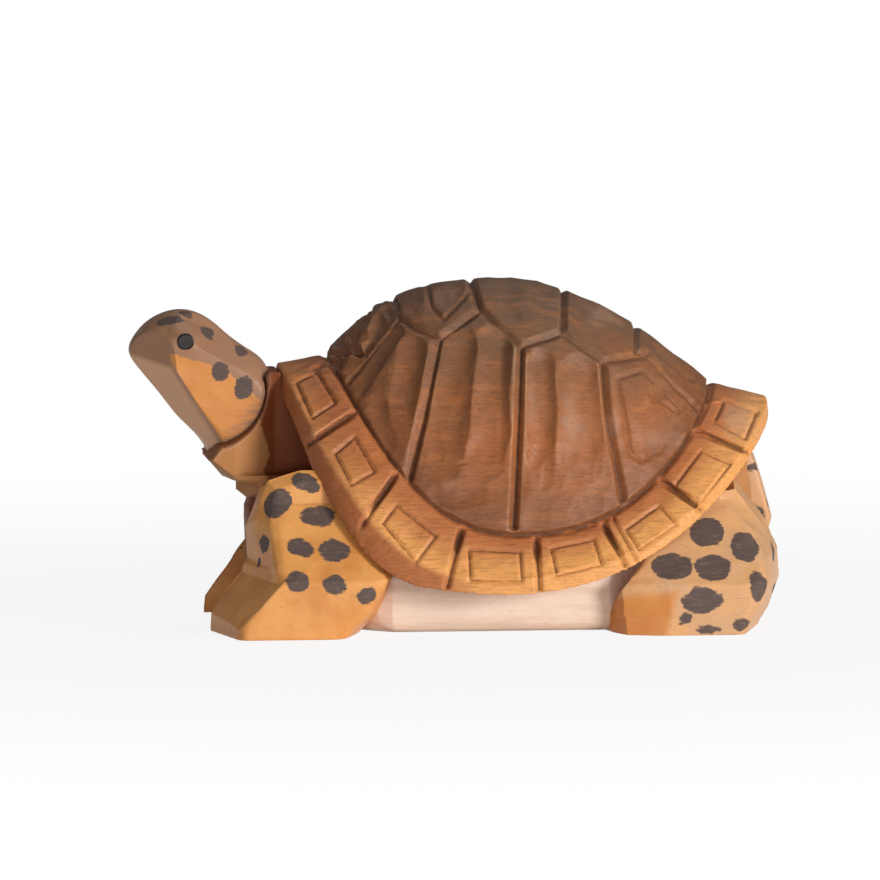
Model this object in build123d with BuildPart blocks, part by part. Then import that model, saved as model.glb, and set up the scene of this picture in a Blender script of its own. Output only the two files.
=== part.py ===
# Carved wooden tortoise: a domed shell with cut scutes and a flared rim of plates,
# seated on a flat-bottomed body that carries the head, four legs and the tail on dowels.
# Millimetres, +Z up, head towards -X, standing on Z = 0.

import os
from math import cos, radians, sin, sqrt

from build123d import *

os.makedirs("parts", exist_ok=True)

# Dome of the shell, an ellipsoid that the rim cuts off below
dome_length = 71.8
dome_width = 46.0
dome_height = 37.8
dome_base = 10.0
dome_middle = 7.36
foot_low_height = 14.1

# Flared rim: how far it reaches past the dome, and the saddle line of its edge
rim_reach_front = 6.5
rim_reach_rear = 7.8
rim_reach_side = 4.0
rim_front_height = 36.0
rim_rear_height = 30.6
rim_low_height = 8.4
rim_low_place = 3.5
rim_thickness = 2.2
rim_root = 3.0
rim_saddle_power = 2.4
rim_lean_share = 0.1

# Where the foot of the dome meets the rim, as shares of the dome's half sizes
foot_front_share = 0.697
foot_rear_share = 0.80

# Carved lines of the shell
scute_groove = 1.1
scute_depth = 1.0
foot_groove = 0.8
plate_groove = 0.9
plate_depth = 0.7

# Body block with its flat base, chest and sloping neck seat
body_length = 75.0
body_middle = 3.4
body_width_share = 0.652
body_height = 34.2
body_edge = 2.5
seat_rise = 1.5
seat_overlap = 3.0

# Head and neck, carved along a sloping axis from the neck seat
neck_angle = 37.0
neck_place = -30.05
neck_height = 29.2
head_length = 17.6
head_height = 8.3
head_width = 13.4

# Eye beads
eye_diameter = 2.4
eye_length = 3.2
eye_dome = 0.3

# Legs, carved from blocks that taper outwards from the body
leg_thickness = 13.0
leg_inlet = 4.0
leg_taper = 13.0
leg_edge = 2.0
front_leg_length = 25.6
front_leg_height = 21.5
front_leg_place = -21.9
rear_leg_length = 26.0
rear_leg_height = 26.0
rear_leg_place = 31.2

# Tail
tail_length = 9.0
tail_height = 14.4
tail_width = 7.0
tail_base = 11.0
tail_end = 44.94
tail_taper = 9.0

# Glued dowels
dowel_diameter = 4.0
dowel_length = 9.0
dowel_clearance = 0.1
overrun = 20.0

# Outlines and tables of places, chosen by hand as shares of the sizes that they follow
plate_turn_shares = (0.171, 0.275, 0.391, 0.499, 0.618, 0.740, 0.841)
scute_ridge_shares = (
    (-0.660, 0.653), (-0.430, 0.882), (-0.281, 0.821), (-0.122, 0.920), (0.019, 0.794),
    (0.194, 0.844), (0.342, 0.743), (0.510, 0.756), (0.740, 0.520),
)
scute_top_shares = ((-0.423, 1.0), (-0.158, 1.1), (0.200, 1.1), (0.507, 1.0))
scute_side_shares = ((-0.420, 0.326), (-0.016, 0.168), (0.403, 0.266))
chest_shares = (
    (-0.994, 0.66), (-0.856, 0.48), (-0.843, 0.24), (-0.744, 0.0),
    (0.88, 0.0), (0.975, 0.14), (1.0, 0.42), (0.974, 0.70),
)
nape_shares = ((-0.650, 0.97), (-0.93, 1.06), (-1.13, 0.80))
arch_shares = ((1.0, 0.0), (1.0, 0.5), (0.30, 1.0))
saddle_shares = (-0.52, 0.90)
plan_shares = ((-1.01, 0.52), (-0.70, 0.56), (-0.36, 1.0), (0.80, 1.0), (1.01, 0.60))
waist_shares = ((-0.93, 0.56), (-0.76, 0.33), (-0.50, 0.33), (-0.50, 1.1), (-0.93, 1.1))
shoulder_share = 0.62
head_station_shares = (
    (0.0, 0.90, -0.81, 1.00), (0.29, 0.97, -0.66, 1.04), (0.59, 0.98, -0.51, 1.00),
    (0.79, 0.89, -0.40, 0.88), (0.93, 0.62, -0.31, 0.64), (1.0, 0.26, -0.10, 0.26),
)
eye_place_shares = (0.70, 0.46)
eye_side_share = 0.92
front_leg_shares = (
    (-0.02, 1.0), (-0.23, 0.92), (-0.31, 0.68), (-0.30, 0.47), (-0.40, 0.32), (-0.5, 0.12),
    (-0.5, -0.25), (0.16, -0.25), (0.37, 0.10), (0.46, 0.36), (0.42, 0.65), (0.2, 1.0),
)
rear_leg_shares = (
    (-0.46, -0.2), (-0.5, 0.11), (-0.40, 0.20), (-0.24, 0.40), (0.03, 0.62), (0.26, 0.80),
    (0.43, 0.58), (0.5, 0.42), (0.51, 0.26), (0.45, 0.09), (0.28, -0.2),
)
tail_shares = ((-1.0, 0.1), (-0.12, 0.0), (0.0, 0.2), (-0.28, 0.8), (-0.45, 1.0), (-1.0, 0.7))
front_dowel_share = 0.42
rear_dowel_shares = (-0.06, 0.26)
shell_dowel_shares = (-0.12, 0.42)

half_length = dome_length / 2
half_width = dome_width / 2
body_width = dome_width * body_width_share
foot_front = dome_middle - half_length * foot_front_share
foot_rear = dome_middle + half_length * foot_rear_share
rim_front = foot_front - rim_reach_front
rim_rear = foot_rear + rim_reach_rear


def saddle_height(x, front, front_height, rear, rear_height, low, low_height):
    # A line that is lowest beside the belly and rises to both ends of the shell
    end, end_height = (front, front_height) if x < low else (rear, rear_height)
    share = (x - low) / (end - low)
    return low_height + (end_height - low_height) * share**rim_saddle_power


def dome_level(x):
    # Height of the dome above its middle line
    return dome_base + dome_height * sqrt(1 - ((x - dome_middle) / half_length) ** 2)


def rim_edge_height(x):
    return saddle_height(
        x, rim_front, rim_front_height, rim_rear, rim_rear_height, rim_low_place, rim_low_height
    )


def rim_station(turn_share):
    # Foot of the dome and tip of the rim on the left side, from the rear (0) to the front (1)
    along = cos(radians(180 * turn_share))
    across = sin(radians(180 * turn_share))
    foot_x = (foot_front + foot_rear) / 2 + (foot_rear - foot_front) / 2 * along
    foot_z = saddle_height(
        foot_x, foot_front, dome_level(foot_front), foot_rear, dome_level(foot_rear),
        dome_middle, foot_low_height,
    )
    level = ((foot_x - dome_middle) / half_length) ** 2 + ((foot_z - dome_base) / dome_height) ** 2
    foot = Vector(foot_x, -half_width * sqrt(max(1 - level, 0)), foot_z)
    tip_x = foot_x + (rim_reach_rear if along > 0 else rim_reach_front) * along
    tip = Vector(tip_x, foot.Y - rim_reach_side * across, rim_edge_height(tip_x))
    return foot, tip


def rim_plane(foot, tip):
    # Upright plane through the foot and the tip, with its own x outwards and its own y up
    outward = Vector(tip.X - foot.X, tip.Y - foot.Y, 0).normalized()
    return Plane(origin=(foot.X, foot.Y, 0), x_dir=outward, z_dir=outward.cross(Vector(0, 0, 1)))


def rim_run(foot, tip):
    return sqrt((tip.X - foot.X) ** 2 + (tip.Y - foot.Y) ** 2)


plate_ends = (0, *plate_turn_shares, 1)
plate_middles = [(start + end) / 2 for start, end in zip(plate_ends, plate_ends[1:])]
turn_shares = sorted((*plate_ends, *plate_middles))

# Dome
with BuildPart() as dome:
    Sphere(radius=dome_height, rotation=(90, 0, 0))
    scale(by=(half_length / dome_height, half_width / dome_height, 1))
dome_solid = Pos(dome_middle, 0, dome_base) * dome.part

core_height = dome_height - scute_depth
with BuildPart() as dome_core:
    Sphere(radius=core_height, rotation=(90, 0, 0))
    scale(by=((half_length - scute_depth) / core_height, (half_width - scute_depth) / core_height, 1))
core_solid = Pos(dome_middle, 0, dome_base) * dome_core.part

# Left half of the rim, lofted through upright sections round the foot of the dome
with BuildPart() as rim_half:
    for turn_share in turn_shares:
        foot, tip = rim_station(turn_share)
        run = rim_run(foot, tip)
        root_top = foot.Z + rim_root * (foot.Z - tip.Z) / run
        root_under = min(root_top, foot.Z, (foot.Z + tip.Z) / 2) - rim_thickness / 2
        with BuildSketch(rim_plane(foot, tip)):
            with BuildLine():
                Polyline(
                    (-rim_root, root_top),
                    (run, tip.Z),
                    (run + rim_thickness * rim_lean_share, tip.Z - rim_thickness),
                    (-rim_root, root_under),
                    close=True,
                )
            make_face()
    loft()

# Groove between dome and rim, left half
with BuildPart() as foot_cut_half:
    for turn_share in turn_shares:
        foot, tip = rim_station(turn_share)
        with BuildSketch(rim_plane(foot, tip)):
            with Locations((0, foot.Z)):
                RegularPolygon(radius=foot_groove, side_count=4)
    loft()

# Scute lines, drawn in the side view and kept to the skin of the dome
ridge = [(dome_middle + half_length * x, dome_base + dome_height * z) for x, z in scute_ridge_shares]
tops = [(dome_middle + half_length * x, dome_base + dome_height * z) for x, z in scute_top_shares]
sides = [(dome_middle + half_length * x, dome_base + dome_height * z) for x, z in scute_side_shares]
with BuildPart() as scute_cut:
    with BuildSketch(Plane.XZ):
        with BuildLine():
            Polyline(*ridge)
            for low, high in zip(ridge[1::2], tops):
                Line(low, high)
            for high, low in zip(ridge[2::2], sides):
                Line(high, low)
        trace(line_width=scute_groove)
    extrude(amount=dome_width, both=True)
    add(core_solid, mode=Mode.SUBTRACT)

# Cross lines between the plates of the rim, left half
with BuildPart() as plate_cut_half:
    for turn_share in plate_turn_shares:
        foot, tip = rim_station(turn_share)
        run = rim_run(foot, tip)
        with BuildSketch(rim_plane(foot, tip)):
            with BuildLine():
                Polyline(
                    (0, foot.Z + plate_depth),
                    (run + plate_groove, tip.Z + plate_depth),
                    (run + plate_groove, tip.Z - plate_depth),
                    (0, foot.Z - plate_depth),
                    close=True,
                )
            make_face()
        extrude(amount=plate_groove / 2, both=True)

# Carapace: dome and rim in one piece, cut off below along the saddle line
saddle_x = [rim_front + (rim_rear - rim_front) * share for share in turn_shares]
with BuildPart() as carapace:
    add(dome_solid)
    with BuildSketch(Plane.XZ):
        with BuildLine():
            saddle = Spline(*[(x, rim_edge_height(x) + seat_rise) for x in saddle_x])
            Polyline(
                saddle @ 1,
                (rim_rear, dome_base + dome_height + overrun),
                (rim_front, dome_base + dome_height + overrun),
                saddle @ 0,
            )
        make_face()
    extrude(amount=dome_width, both=True, mode=Mode.INTERSECT)
    add(rim_half.part)
    mirror(rim_half.part, about=Plane.XZ)
    for cut in (foot_cut_half.part, plate_cut_half.part):
        add(cut, mode=Mode.SUBTRACT)
        mirror(cut, about=Plane.XZ, mode=Mode.SUBTRACT)
    add(scute_cut.part, mode=Mode.SUBTRACT)

# Body block, cut above by the shell
body_half = body_length / 2
chest = [(body_middle + body_half * x, body_height * z) for x, z in chest_shares]
nape = [(body_middle + body_half * x, body_height * z) for x, z in nape_shares]
arch = [(body_width / 2 * y, body_height * z) for y, z in arch_shares]
seat_ends = [body_middle + body_half * share for share in saddle_shares]
seat_x = [seat_ends[1] + (seat_ends[0] - seat_ends[1]) * share for share in turn_shares]
plan = [(body_middle + body_half * x, body_width / 2 * y) for x, y in plan_shares]
waist = [(body_middle + body_half * x, body_width / 2 * y) for x, y in waist_shares]
neck_axis = Vector(-cos(radians(neck_angle)), 0, sin(radians(neck_angle)))
neck_seat = Plane(origin=(neck_place, 0, neck_height), x_dir=(0, -1, 0), z_dir=neck_axis)
with BuildPart() as body:
    with BuildSketch(Plane.XZ):
        with BuildLine():
            crest = Spline(*[(x, rim_edge_height(x) + seat_overlap) for x in seat_x])
            Polyline(crest @ 1, *nape, *chest, crest @ 0)
        make_face()
    extrude(amount=body_width, both=True)
    with BuildSketch(Plane.XY):
        with BuildLine():
            Polyline(*plan, *[(x, -y) for x, y in reversed(plan)], close=True)
        make_face()
    extrude(amount=body_height + overrun, mode=Mode.INTERSECT)
    with BuildSketch(Plane.YZ):
        with BuildLine():
            Polyline(*arch, *[(-y, z) for y, z in reversed(arch)], close=True)
        make_face()
    extrude(amount=body_length, both=True, mode=Mode.INTERSECT)
    with BuildSketch(Plane.XY.offset(body_height * shoulder_share)):
        for side in (-1, 1):
            with BuildLine():
                Polyline(*[(x, side * y) for x, y in waist], close=True)
            make_face()
    extrude(amount=body_height, mode=Mode.SUBTRACT)
    split(bisect_by=neck_seat, keep=Keep.BOTTOM)
    fillet(body.edges().group_by(Axis.Z)[0], radius=body_edge)
    add(carapace.part, mode=Mode.SUBTRACT)

# Dowels, glued half into the body and half into the piece that it carries
slant_start, slant_end = plan[1], plan[2]
front_seat = (
    (slant_start[0] + slant_end[0]) / 2,
    (slant_start[1] + slant_end[1]) / 2,
    front_leg_height * front_dowel_share,
)
rear_seat = (
    rear_leg_place + rear_leg_length * rear_dowel_shares[0],
    body_width / 2,
    rear_leg_height * rear_dowel_shares[1],
)
leg_dowel_planes = [
    Plane(origin=(x, side * y, z), z_dir=(0, 1, 0))
    for x, y, z in (front_seat, rear_seat)
    for side in (-1, 1)
]
shell_dowel_x = [body_middle + body_half * share for share in shell_dowel_shares]
shell_dowel_planes = [Plane(origin=(x, 0, rim_edge_height(x) + seat_rise)) for x in shell_dowel_x]
dowel_radius = dowel_diameter / 2

with BuildPart() as leg_dowels:
    for plane in leg_dowel_planes:
        with Locations(plane):
            Cylinder(radius=dowel_radius, height=dowel_length)

with BuildPart() as shell_dowels:
    for plane in shell_dowel_planes:
        with Locations(plane):
            Cylinder(radius=dowel_radius, height=dowel_length)

with BuildPart() as neck_dowel:
    with Locations(neck_seat):
        Cylinder(radius=dowel_radius, height=dowel_length)

# Holes for the dowels, a clearance larger all round
with BuildPart() as dowel_holes:
    for plane in (*leg_dowel_planes, *shell_dowel_planes, neck_seat):
        with Locations(plane):
            Cylinder(radius=dowel_radius + dowel_clearance, height=dowel_length + 2 * dowel_clearance)

with BuildPart() as bored_carapace:
    add(carapace.part)
    add(dowel_holes.part, mode=Mode.SUBTRACT)

with BuildPart() as bored_body:
    add(body.part)
    add(dowel_holes.part, mode=Mode.SUBTRACT)

# Head and neck, lofted along the neck axis from the seat to the snout
eye_seat = neck_seat.offset(head_length * eye_place_shares[0]).from_local_coords(
    Vector(0, head_height * eye_place_shares[1], 0)
)
eye_face = Plane(origin=(eye_seat.X, -head_width / 2 * eye_side_share, eye_seat.Z), z_dir=(0, -1, 0))
with BuildPart() as left_eye:
    with BuildSketch(eye_face.offset(eye_dome)):
        Circle(eye_diameter / 2)
    extrude(amount=-eye_length)
    fillet(left_eye.edges().sort_by(Axis.Y)[0], radius=eye_dome)

with BuildPart() as right_eye:
    mirror(left_eye.part, about=Plane.XZ)

with BuildPart() as head_and_neck:
    for reach, top, bottom, width in head_station_shares:
        with BuildSketch(neck_seat.offset(head_length * reach)):
            with Locations((0, head_height * (top + bottom) / 2)):
                Ellipse(head_width / 2 * width, head_height * (top - bottom) / 2)
    loft()
    add(carapace.part, mode=Mode.SUBTRACT)
    add(dowel_holes.part, mode=Mode.SUBTRACT)
    for eye in (left_eye.part, right_eye.part):
        add(eye, mode=Mode.SUBTRACT)

# Legs, each an outline drawn out sideways with a taper and cut to fit body and shell
leg_plane = Plane.XZ.offset(body_width / 2 - leg_inlet)
front_outline = [
    (front_leg_place + front_leg_length * x, front_leg_height * z) for x, z in front_leg_shares
]
rear_outline = [(rear_leg_place + rear_leg_length * x, rear_leg_height * z) for x, z in rear_leg_shares]
with BuildPart() as left_front_leg:
    with BuildSketch(leg_plane):
        with BuildLine():
            Polyline(*front_outline, close=True)
        make_face()
    extrude(amount=leg_thickness, taper=leg_taper)
    fillet(left_front_leg.faces().sort_by(Axis.Y)[0].edges(), radius=leg_edge)
    split(bisect_by=Plane.XY, keep=Keep.TOP)
    add(bored_body.part, mode=Mode.SUBTRACT)
    add(carapace.part, mode=Mode.SUBTRACT)
    add(dowel_holes.part, mode=Mode.SUBTRACT)

with BuildPart() as left_rear_leg:
    with BuildSketch(leg_plane):
        with BuildLine():
            Polyline(*rear_outline, close=True)
        make_face()
    extrude(amount=leg_thickness, taper=leg_taper)
    fillet(left_rear_leg.faces().sort_by(Axis.Y)[0].edges(), radius=leg_edge)
    split(bisect_by=Plane.XY, keep=Keep.TOP)
    add(bored_body.part, mode=Mode.SUBTRACT)
    add(carapace.part, mode=Mode.SUBTRACT)
    add(dowel_holes.part, mode=Mode.SUBTRACT)

with BuildPart() as right_front_leg:
    mirror(left_front_leg.part, about=Plane.XZ)

with BuildPart() as right_rear_leg:
    mirror(left_rear_leg.part, about=Plane.XZ)

# Tail, a wedge under the rear of the rim
tail_outline = [(tail_end + tail_length * x, tail_base + tail_height * z) for x, z in tail_shares]
with BuildPart() as tail:
    with BuildSketch(Plane.XZ):
        with BuildLine():
            Polyline(*tail_outline, close=True)
        make_face()
    extrude(amount=tail_width / 2, both=True, taper=tail_taper)
    add(body.part, mode=Mode.SUBTRACT)
    add(carapace.part, mode=Mode.SUBTRACT)
    add(left_rear_leg.part, mode=Mode.SUBTRACT)
    add(right_rear_leg.part, mode=Mode.SUBTRACT)

pieces = {
    "carapace": bored_carapace,
    "body": bored_body,
    "head_and_neck": head_and_neck,
    "left_eye": left_eye,
    "right_eye": right_eye,
    "left_front_leg": left_front_leg,
    "right_front_leg": right_front_leg,
    "left_rear_leg": left_rear_leg,
    "right_rear_leg": right_rear_leg,
    "tail": tail,
    "neck_dowel": neck_dowel,
    "leg_dowels": leg_dowels,
    "shell_dowels": shell_dowels,
}
for name, piece in pieces.items():
    piece.part.label = name
    export_step(piece.part, f"parts/{name}.step")
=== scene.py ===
import math

import bmesh
import bpy
import numpy as np
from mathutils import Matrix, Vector
from mathutils.bvhtree import BVHTree


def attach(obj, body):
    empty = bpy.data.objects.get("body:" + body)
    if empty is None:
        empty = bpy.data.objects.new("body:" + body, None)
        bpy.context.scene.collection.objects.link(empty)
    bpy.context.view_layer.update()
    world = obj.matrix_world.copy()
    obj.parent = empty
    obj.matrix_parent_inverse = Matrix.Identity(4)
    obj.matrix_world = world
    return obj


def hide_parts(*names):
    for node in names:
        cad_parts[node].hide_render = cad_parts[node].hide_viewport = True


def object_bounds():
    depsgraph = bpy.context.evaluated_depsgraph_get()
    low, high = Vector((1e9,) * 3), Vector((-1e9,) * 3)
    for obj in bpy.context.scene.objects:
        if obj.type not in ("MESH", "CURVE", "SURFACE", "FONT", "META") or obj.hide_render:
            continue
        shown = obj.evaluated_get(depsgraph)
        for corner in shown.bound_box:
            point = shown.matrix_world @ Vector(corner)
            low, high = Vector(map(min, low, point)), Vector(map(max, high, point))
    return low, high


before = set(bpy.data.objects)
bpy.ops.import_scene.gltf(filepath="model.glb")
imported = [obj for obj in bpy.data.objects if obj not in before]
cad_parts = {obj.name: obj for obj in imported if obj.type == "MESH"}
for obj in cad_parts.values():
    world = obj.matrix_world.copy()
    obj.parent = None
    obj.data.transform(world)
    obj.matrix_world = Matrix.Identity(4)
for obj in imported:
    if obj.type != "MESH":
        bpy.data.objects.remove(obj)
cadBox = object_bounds()
mm = 0.001
boxLow, boxHigh = (np.array(corner) / mm for corner in cadBox)
scene = bpy.context.scene
print("frame loaded:", len(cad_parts), "nodes")

# The photo is a long-lens side view. Details of the left side are placed by their pixel in it,
# and the right side mirrors them.
photo = {
    "turn": -6.0,            # degrees round the figure, towards its head
    "rise": 6.0,             # degrees above the horizon
    "pixelsPerMm": 7.2,
    "size": 880,             # pixels, square
    "middle": (-1.59, 24.8),  # what its middle pixel shows, mm to the right and up
    "distance": 2500.0,      # mm
}
turn, rise = math.radians(photo["turn"]), math.radians(photo["rise"])
lookRight = np.array((math.cos(turn), math.sin(turn), 0.0))
lookBack = np.array((math.sin(turn) * math.cos(rise), -math.cos(turn) * math.cos(rise), math.sin(rise)))
lookUp = np.cross(lookBack, lookRight)


def photoPixels(points):
    # where points in mm show in the photo; the right side is folded onto the left one
    folded = points * (1, 0, 1) + np.abs(points) * (0, -1, 0)
    across = (folded @ lookRight - photo["middle"][0]) * photo["pixelsPerMm"] + photo["size"] / 2
    down = photo["size"] / 2 - (folded @ lookUp - photo["middle"][1]) * photo["pixelsPerMm"]
    return np.stack((across, down), 1)


def photoPoint(across, down, depth):
    # the point in mm that shows at a pixel and lies at y = depth
    right = (across - photo["size"] / 2) / photo["pixelsPerMm"] + photo["middle"][0]
    up = (photo["size"] / 2 - down) / photo["pixelsPerMm"] + photo["middle"][1]
    flat = right * lookRight + up * lookUp
    return flat + lookBack * (depth - flat[1]) / lookBack[1]


# Mesh tools, all in mm

def readRows(items, key, width, kind):
    flat = np.empty(len(items) * width, kind)
    items.foreach_get(key, flat)
    return flat.reshape(-1, width)


def readPoints(mesh):
    return readRows(mesh.vertices, "co", 3, float) / mm


def writePoints(mesh, points):
    points = np.clip(points, boxLow, boxHigh)  # never outside the solids' box
    mesh.vertices.foreach_set("co", (points * mm).ravel())
    mesh.update()


def readNormals(mesh):
    return readRows(mesh.vertex_normals, "vector", 3, np.float32).astype(float)


def readEdges(mesh):
    return readRows(mesh.edges, "vertices", 2, np.int32)


def spread(values, edges, times, share=0.5):
    # each round moves a vertex's values towards the mean of its neighbours
    count = len(values)
    a, b = edges[:, 0], edges[:, 1]
    near = np.bincount(a, minlength=count) + np.bincount(b, minlength=count)
    near = np.maximum(near, 1)
    values = values.copy()
    for _ in range(times):
        columns = values.reshape(count, -1)
        mean = np.empty_like(columns)
        for k in range(columns.shape[1]):
            column = columns[:, k]
            mean[:, k] = (np.bincount(a, column[b], count) + np.bincount(b, column[a], count)) / near
        values = values + (mean.reshape(values.shape) - values) * share
    return values


def held(values):
    return np.clip(values, 0, 1)


def ramp(values, start, span):
    # 0 up to start, then straight up to 1 at start + span; a span below zero runs the other way
    return held((values - start) / span)


def unit(vectors):
    return vectors / np.maximum(np.linalg.norm(vectors, axis=-1, keepdims=True), 1e-9)


def keepBiggest(mesh):
    # drops the small closed shells that a remesh can leave inside the wood
    edges = readEdges(mesh)
    label = np.arange(len(mesh.vertices))
    while True:
        low = np.minimum(label[edges[:, 0]], label[edges[:, 1]])
        lower = label.copy()
        np.minimum.at(lower, edges[:, 0], low)
        np.minimum.at(lower, edges[:, 1], low)
        lower = lower[lower]
        if (lower == label).all():
            break
        label = lower
    small = np.flatnonzero(label != np.bincount(label).argmax())
    if len(small):
        work = bmesh.new()
        work.from_mesh(mesh)
        work.verts.ensure_lookup_table()
        bmesh.ops.delete(work, geom=[work.verts[index] for index in small], context="VERTS")
        work.to_mesh(mesh)
        work.free()


def remeshed(name, source, voxel):
    # a copy of a mesh as an even skin of small quads
    piece = bpy.data.objects.new(name, source)
    scene.collection.objects.link(piece)
    remesh = piece.modifiers.new("skin", "REMESH")
    remesh.mode = "VOXEL"
    remesh.voxel_size = voxel * mm
    skin = bpy.data.meshes.new_from_object(piece.evaluated_get(bpy.context.evaluated_depsgraph_get()))
    piece.modifiers.clear()
    piece.data = skin
    skin.name = name
    keepBiggest(skin)
    skin.materials.clear()
    for polygon in skin.polygons:
        polygon.use_smooth = True
    return piece


def setValues(mesh, **named):
    # a number for each vertex, which the finishes read by its name
    for name, values in named.items():
        mesh.attributes.new(name, "FLOAT", "POINT").data.foreach_set("value", values.astype(np.float32))


def lineDistance(pixels, start, end):
    # distance from a stretch of line, the side of it (+1 is left of a line drawn downwards, -1 right),
    # and how far along it, as a share
    start, end = np.array(start, float), np.array(end, float)
    run = end - start
    share = held(((pixels - start) @ run) / (run @ run))
    gap = pixels - (start + share[:, None] * run)
    away = np.linalg.norm(gap, axis=1)
    side = (gap[:, 1] * run[0] - gap[:, 0] * run[1]) / np.maximum(away * np.linalg.norm(run), 1e-6)
    return away, side, share


def cutDepth(pixels, cuts, power=1, runOut=0.0):
    # cuts: line, half widths in pixels left and right of it as it is drawn, depth in mm; power 1 is a
    # knife's V and 2 a gouge's round bottom, and runOut is the share of the depth lost towards the end
    deepest = np.zeros(len(pixels))
    for line, left, right, depth in cuts:
        whole = sum(math.dist(start, end) for start, end in zip(line, line[1:]))
        gone = 0.0
        for start, end in zip(line, line[1:]):
            away, side, share = lineDistance(pixels, start, end)
            half = (left + right) / 2 + (left - right) / 2 * side
            share = (gone + share * math.dist(start, end)) / whole
            deepest = np.maximum(deepest, depth * (1 - runOut * share**3) * (1 - (away / half) ** power))
            gone += math.dist(start, end)
    return deepest


def shapeGap(pixels, corners):
    # pixels outside a convex outline, below zero inside it
    corners = np.array(corners, float)
    middle = corners.mean(0)
    gaps = []
    for start, end in zip(corners, np.roll(corners, -1, 0)):
        across = unit(np.array((end[1] - start[1], start[0] - end[0])))
        across = across if (middle - start) @ across < 0 else -across
        gaps.append((pixels - start) @ across)
    return np.max(gaps, axis=0)


def whittle(points, corners, inside, both=False, low=-99.0, high=99.0):
    # a flat knife cut through three photo points (pixel, pixel, y in mm), kept between two heights
    a, b, c = (photoPoint(*corner) for corner in corners)
    keep = held(points[:, 2] - low) * held(high - points[:, 2])
    across = unit(np.cross(b - a, c - a))
    across = across if (np.array(inside) - a) @ across < 0 else -across
    for side in ((1, 1, 1), (1, -1, 1)) if both else ((1, 1, 1),):
        over = np.maximum((points - a * side) @ (across * side), 0) * keep
        points = points - over[:, None] * (across * side)
    return points


def chipSkin(points, normals, seed, count, size, depth, stroke, keep=None):
    # shallow knife strokes scattered over the skin, each longer along its stroke
    dice = np.random.default_rng(seed)
    keep = np.ones(len(points)) if keep is None else keep
    order = np.argsort(points[:, 0])
    ordered = points[order, 0]
    cut = np.zeros(len(points))
    for index in dice.choice(np.flatnonzero(keep > 0.5), count, replace=False):
        first, last = np.searchsorted(ordered, points[index, 0] + np.array((-3.4, 3.4)) * size)
        near = order[first:last]
        along = np.array(stroke) + dice.normal(0, 0.25, 3)
        along = unit(along - (along @ normals[index]) * normals[index])
        gap = points[near] - points[index]
        lengthwise = gap @ along
        reach = (gap**2).sum(1) - lengthwise**2 + (lengthwise / dice.uniform(1.6, 2.6)) ** 2
        facing = normals[near] @ normals[index] > 0.5
        mark = depth * dice.uniform(0.6, 1.2) * (1 - reach / (size * dice.uniform(0.7, 1.3)) ** 2)
        cut[near] = np.maximum(cut[near], np.where(facing, mark, 0))
    return points - normals * (cut * keep)[:, None]


def skinOf(name, node, form):
    # the skin of one solid: the object, its mesh, edges and slightly smoothed points
    piece = remeshed(name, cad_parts[node].data, form["voxel"])
    edges = readEdges(piece.data)
    return piece, piece.data, edges, spread(readPoints(piece.data), edges, form.get("soften", 1))


def chipMesh(mesh, edges, points, chips, keep=None):
    writePoints(mesh, points)
    normals = unit(spread(readNormals(mesh), edges, 2))
    writePoints(mesh, chipSkin(points, normals, keep=keep, **chips))


soleChips = (0.0, 0.8)   # mm above the sole in which the chips fade in, so that it stays flat
reliefDepth = 0.22       # mm under or over the smoothed skin that counts as full


def storeRelief(mesh, edges, seam=0.0):
    # hollows and ridges for the finish, from how far the skin lies under or over its smoothed self; the
    # finishes darken hollows with stain and painted shade
    points = readPoints(mesh)
    normals = readNormals(mesh)
    sunk = ((spread(points, edges, 10, 0.6) - points) * normals).sum(1)
    setValues(mesh, hollow=np.maximum(held(sunk / reliefDepth), seam), ridge=held(-sunk / reliefDepth))


# Brush dabs: (pixel across, pixel down, width, height, tilt in degrees) as the photo shows them

def dabGap(piece, dabs, seed):
    # mm from the edge of the nearest dab, below zero inside it; the right side has its own hand
    points = readPoints(piece.data)
    tree = BVHTree.FromObject(piece, bpy.context.evaluated_depsgraph_get())
    dice = np.random.default_rng(seed)
    gapAll = np.full(len(points), 4.0)
    for across, down, wide, high, tilt in dabs:
        for side in (1, -1):
            shift = dice.normal(0, 4.0, 2) if side < 0 else (0, 0)
            start = photoPoint(across + shift[0], down + shift[1], -60.0)
            mirror = np.array((1, side, 1))
            hit, normal, _, _ = tree.ray_cast(Vector(start * mirror * mm), Vector(-lookBack * mirror))
            if hit is None:
                continue
            centre, out = np.array(hit) / mm, np.array(normal)
            angle = math.radians(tilt)
            first = (math.cos(angle) * lookRight - math.sin(angle) * lookUp) * mirror
            first = unit(first - (first @ out) * out)
            second = np.cross(out, first)
            gap = points - centre
            half = np.array((wide, high)) / 2 / photo["pixelsPerMm"]
            shape = np.sqrt(
                (gap @ first / half[0]) ** 2 + (gap @ second / half[1]) ** 2 + (gap @ out / 2.5) ** 2
            )
            gapAll = np.minimum(gapAll, (shape - 1) * half.min())
    return gapAll


# Shell

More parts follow.
